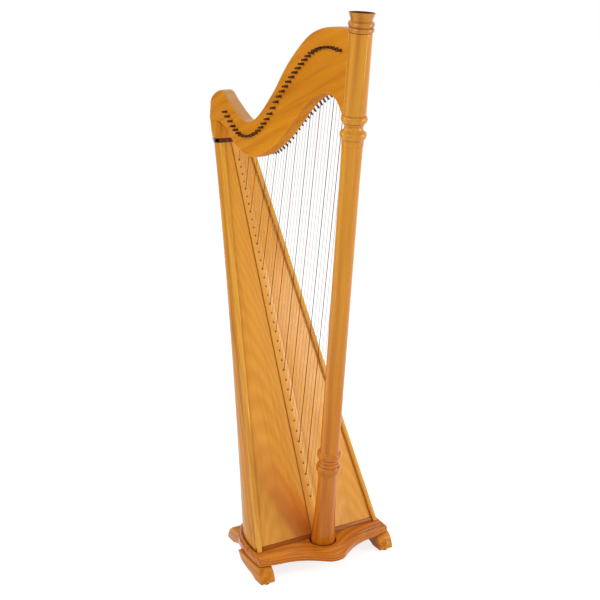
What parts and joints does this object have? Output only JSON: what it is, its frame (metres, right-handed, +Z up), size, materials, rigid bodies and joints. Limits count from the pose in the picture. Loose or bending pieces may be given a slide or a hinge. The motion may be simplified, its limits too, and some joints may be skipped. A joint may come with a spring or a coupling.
{
  "type": "lever harp",
  "caption": "Freestanding lever harp in golden wood: rounded soundbox on a moulded footed base, turned pillar, curved neck, strings and flip-up sharpening levers",
  "frame": {"origin": "on the floor, at the middle of the harp's bounding box", "axes": "+Z up; +X from the soundbox towards the pillar; +Y to the side that carries strings and levers"},
  "size_m": [0.8186, 0.4374, 1.5536],
  "materials": {
    "wood_golden": "glossy clear lacquer over golden wood",
    "wood_base": "glossy clear lacquer over reddish wood",
    "wood_board": "satin lacquer over light straight-grained wood",
    "wood_trim": "glossy clear lacquer over pale wood",
    "wood_shell": "glossy clear lacquer over golden veneer",
    "dark_metal": "dark bronzed, polished",
    "rubber_black": "matte black",
    "string_pale": "pale monofilament",
    "lever_grey": "grey, satin",
    "lever_red": "dark red, satin",
    "lever_black": "black, satin"
  },
  "bodies": {
    "harp": {"base_batten": "wood_base", "base_board": "wood_base", "center_strip": "wood_trim", "collar_band": "dark_metal", "edge_trim_left": "wood_trim", "edge_trim_right": "wood_trim", "foot_front_left": "wood_base", "foot_front_right": "wood_base", "foot_rear_left": "wood_base", "foot_rear_right": "wood_base", "glide_front_left": "rubber_black", "glide_front_right": "rubber_black", "glide_rear_left": "rubber_black", "glide_rear_right": "rubber_black", "neck": "wood_golden", "pillar": "wood_golden", "pillar_cap": "wood_golden", "shell_brace": "wood_trim", "shoulder_block": "wood_golden", "soundboard": "wood_board", "soundbox_shell": "wood_shell", "strings": "string_pale"},
    "lever_01": {"lever_01": "lever_grey"},
    "lever_02": {"lever_02": "lever_grey"},
    "lever_03": {"lever_03": "lever_red"},
    "lever_04": {"lever_04": "lever_grey"},
    "lever_05": {"lever_05": "lever_grey"},
    "lever_06": {"lever_06": "lever_black"},
    "lever_07": {"lever_07": "lever_grey"},
    "lever_08": {"lever_08": "lever_grey"},
    "lever_09": {"lever_09": "lever_grey"},
    "lever_10": {"lever_10": "lever_red"},
    "lever_11": {"lever_11": "lever_grey"},
    "lever_12": {"lever_12": "lever_grey"},
    "lever_13": {"lever_13": "lever_black"},
    "lever_14": {"lever_14": "lever_grey"},
    "lever_15": {"lever_15": "lever_grey"},
    "lever_16": {"lever_16": "lever_grey"},
    "lever_17": {"lever_17": "lever_red"},
    "lever_18": {"lever_18": "lever_grey"},
    "lever_19": {"lever_19": "lever_grey"},
    "lever_20": {"lever_20": "lever_black"},
    "lever_21": {"lever_21": "lever_grey"},
    "lever_22": {"lever_22": "lever_grey"},
    "lever_23": {"lever_23": "lever_grey"},
    "lever_24": {"lever_24": "lever_red"},
    "lever_25": {"lever_25": "lever_grey"},
    "lever_26": {"lever_26": "lever_grey"},
    "lever_27": {"lever_27": "lever_black"},
    "lever_28": {"lever_28": "lever_grey"},
    "lever_29": {"lever_29": "lever_grey"},
    "lever_30": {"lever_30": "lever_grey"},
    "lever_31": {"lever_31": "lever_red"},
    "lever_32": {"lever_32": "lever_grey"},
    "lever_33": {"lever_33": "lever_grey"},
    "lever_34": {"lever_34": "lever_black"},
    "lever_35": {"lever_35": "lever_grey"},
    "lever_36": {"lever_36": "lever_grey"},
    "lever_37": {"lever_37": "lever_grey"},
    "lever_38": {"lever_38": "lever_red"}
  },
  "joints": [
    {"name": "lever_01_flip", "type": "hinge", "parent": "harp", "child": "lever_01", "pos_m": [0.30641, 0.008, 1.34935], "axis": [0.9901, 0, -0.1406], "range_deg": [0, 100]},
    {"name": "lever_02_flip", "type": "hinge", "parent": "harp", "child": "lever_02", "pos_m": [0.29051, 0.008, 1.35362], "axis": [0.9898, 0, -0.1422], "range_deg": [0, 100]},
    {"name": "lever_03_flip", "type": "hinge", "parent": "harp", "child": "lever_03", "pos_m": [0.2746, 0.008, 1.35698], "axis": [0.9896, 0, -0.1438], "range_deg": [0, 100]},
    {"name": "lever_04_flip", "type": "hinge", "parent": "harp", "child": "lever_04", "pos_m": [0.25866, 0.008, 1.3586], "axis": [0.9893, 0, -0.1456], "range_deg": [0, 100]},
    {"name": "lever_05_flip", "type": "hinge", "parent": "harp", "child": "lever_05", "pos_m": [0.24269, 0.008, 1.35921], "axis": [0.9891, 0, -0.1474], "range_deg": [0, 100]},
    {"name": "lever_06_flip", "type": "hinge", "parent": "harp", "child": "lever_06", "pos_m": [0.22671, 0.008, 1.35867], "axis": [0.9888, 0, -0.1492], "range_deg": [0, 100]},
    {"name": "lever_07_flip", "type": "hinge", "parent": "harp", "child": "lever_07", "pos_m": [0.2107, 0.008, 1.3568], "axis": [0.9885, 0, -0.1512], "range_deg": [0, 100]},
    {"name": "lever_08_flip", "type": "hinge", "parent": "harp", "child": "lever_08", "pos_m": [0.19467, 0.008, 1.35367], "axis": [0.9882, 0, -0.1533], "range_deg": [0, 100]},
    {"name": "lever_09_flip", "type": "hinge", "parent": "harp", "child": "lever_09", "pos_m": [0.17861, 0.008, 1.34851], "axis": [0.9878, 0, -0.1557], "range_deg": [0, 100]},
    {"name": "lever_10_flip", "type": "hinge", "parent": "harp", "child": "lever_10", "pos_m": [0.16253, 0.008, 1.34157], "axis": [0.9874, 0, -0.1583], "range_deg": [0, 100]},
    {"name": "lever_11_flip", "type": "hinge", "parent": "harp", "child": "lever_11", "pos_m": [0.14642, 0.008, 1.33331], "axis": [0.9869, 0, -0.1611], "range_deg": [0, 100]},
    {"name": "lever_12_flip", "type": "hinge", "parent": "harp", "child": "lever_12", "pos_m": [0.13029, 0.008, 1.32428], "axis": [0.9864, 0, -0.1641], "range_deg": [0, 100]},
    {"name": "lever_13_flip", "type": "hinge", "parent": "harp", "child": "lever_13", "pos_m": [0.11414, 0.008, 1.31458], "axis": [0.9859, 0, -0.1672], "range_deg": [0, 100]},
    {"name": "lever_14_flip", "type": "hinge", "parent": "harp", "child": "lever_14", "pos_m": [0.09796, 0.008, 1.30434], "axis": [0.9854, 0, -0.1705], "range_deg": [0, 100]},
    {"name": "lever_15_flip", "type": "hinge", "parent": "harp", "child": "lever_15", "pos_m": [0.08176, 0.008, 1.29363], "axis": [0.9848, 0, -0.1739], "range_deg": [0, 100]},
    {"name": "lever_16_flip", "type": "hinge", "parent": "harp", "child": "lever_16", "pos_m": [0.06553, 0.008, 1.2825], "axis": [0.9841, 0, -0.1776], "range_deg": [0, 100]},
    {"name": "lever_17_flip", "type": "hinge", "parent": "harp", "child": "lever_17", "pos_m": [0.04929, 0.008, 1.27095], "axis": [0.9834, 0, -0.1814], "range_deg": [0, 100]},
    {"name": "lever_18_flip", "type": "hinge", "parent": "harp", "child": "lever_18", "pos_m": [0.03302, 0.008, 1.25893], "axis": [0.9826, 0, -0.1855], "range_deg": [0, 100]},
    {"name": "lever_19_flip", "type": "hinge", "parent": "harp", "child": "lever_19", "pos_m": [0.01672, 0.008, 1.24617], "axis": [0.9818, 0, -0.19], "range_deg": [0, 100]},
    {"name": "lever_20_flip", "type": "hinge", "parent": "harp", "child": "lever_20", "pos_m": [0.00038, 0.008, 1.23215], "axis": [0.9808, 0, -0.1951], "range_deg": [0, 100]},
    {"name": "lever_21_flip", "type": "hinge", "parent": "harp", "child": "lever_21", "pos_m": [-0.01599, 0.008, 1.21713], "axis": [0.9796, 0, -0.201], "range_deg": [0, 100]},
    {"name": "lever_22_flip", "type": "hinge", "parent": "harp", "child": "lever_22", "pos_m": [-0.0324, 0.008, 1.20204], "axis": [0.9783, 0, -0.2074], "range_deg": [0, 100]},
    {"name": "lever_23_flip", "type": "hinge", "parent": "harp", "child": "lever_23", "pos_m": [-0.04882, 0.008, 1.18815], "axis": [0.9769, 0, -0.2139], "range_deg": [0, 100]},
    {"name": "lever_24_flip", "type": "hinge", "parent": "harp", "child": "lever_24", "pos_m": [-0.06524, 0.008, 1.17614], "axis": [0.9755, 0, -0.2201], "range_deg": [0, 100]},
    {"name": "lever_25_flip", "type": "hinge", "parent": "harp", "child": "lever_25", "pos_m": [-0.08168, 0.008, 1.16567], "axis": [0.9741, 0, -0.2261], "range_deg": [0, 100]},
    {"name": "lever_26_flip", "type": "hinge", "parent": "harp", "child": "lever_26", "pos_m": [-0.09812, 0.008, 1.15673], "axis": [0.9728, 0, -0.2317], "range_deg": [0, 100]},
    {"name": "lever_27_flip", "type": "hinge", "parent": "harp", "child": "lever_27", "pos_m": [-0.11457, 0.008, 1.1493], "axis": [0.9716, 0, -0.2367], "range_deg": [0, 100]},
    {"name": "lever_28_flip", "type": "hinge", "parent": "harp", "child": "lever_28", "pos_m": [-0.13099, 0.008, 1.14404], "axis": [0.9707, 0, -0.2404], "range_deg": [0, 100]},
    {"name": "lever_29_flip", "type": "hinge", "parent": "harp", "child": "lever_29", "pos_m": [-0.14739, 0.008, 1.14079], "axis": [0.9702, 0, -0.2423], "range_deg": [0, 100]},
    {"name": "lever_30_flip", "type": "hinge", "parent": "harp", "child": "lever_30", "pos_m": [-0.16376, 0.008, 1.13889], "axis": [0.9701, 0, -0.2425], "range_deg": [0, 100]},
    {"name": "lever_31_flip", "type": "hinge", "parent": "harp", "child": "lever_31", "pos_m": [-0.1801, 0.008, 1.13838], "axis": [0.9706, 0, -0.2405], "range_deg": [0, 100]},
    {"name": "lever_32_flip", "type": "hinge", "parent": "harp", "child": "lever_32", "pos_m": [-0.19637, 0.008, 1.13993], "axis": [0.9721, 0, -0.2347], "range_deg": [0, 100]},
    {"name": "lever_33_flip", "type": "hinge", "parent": "harp", "child": "lever_33", "pos_m": [-0.21252, 0.008, 1.1448], "axis": [0.9749, 0, -0.2227], "range_deg": [0, 100]},
    {"name": "lever_34_flip", "type": "hinge", "parent": "harp", "child": "lever_34", "pos_m": [-0.22855, 0.008, 1.1523], "axis": [0.979, 0, -0.2041], "range_deg": [0, 100]},
    {"name": "lever_35_flip", "type": "hinge", "parent": "harp", "child": "lever_35", "pos_m": [-0.24447, 0.008, 1.16118], "axis": [0.9838, 0, -0.1794], "range_deg": [0, 100]},
    {"name": "lever_36_flip", "type": "hinge", "parent": "harp", "child": "lever_36", "pos_m": [-0.26024, 0.008, 1.17357], "axis": [0.9893, 0, -0.1458], "range_deg": [0, 100]},
    {"name": "lever_37_flip", "type": "hinge", "parent": "harp", "child": "lever_37", "pos_m": [-0.27593, 0.008, 1.18562], "axis": [0.9943, 0, -0.1071], "range_deg": [0, 100]},
    {"name": "lever_38_flip", "type": "hinge", "parent": "harp", "child": "lever_38", "pos_m": [-0.29154, 0.008, 1.19745], "axis": [0.9981, 0, -0.0622], "range_deg": [0, 100]}
  ]
}
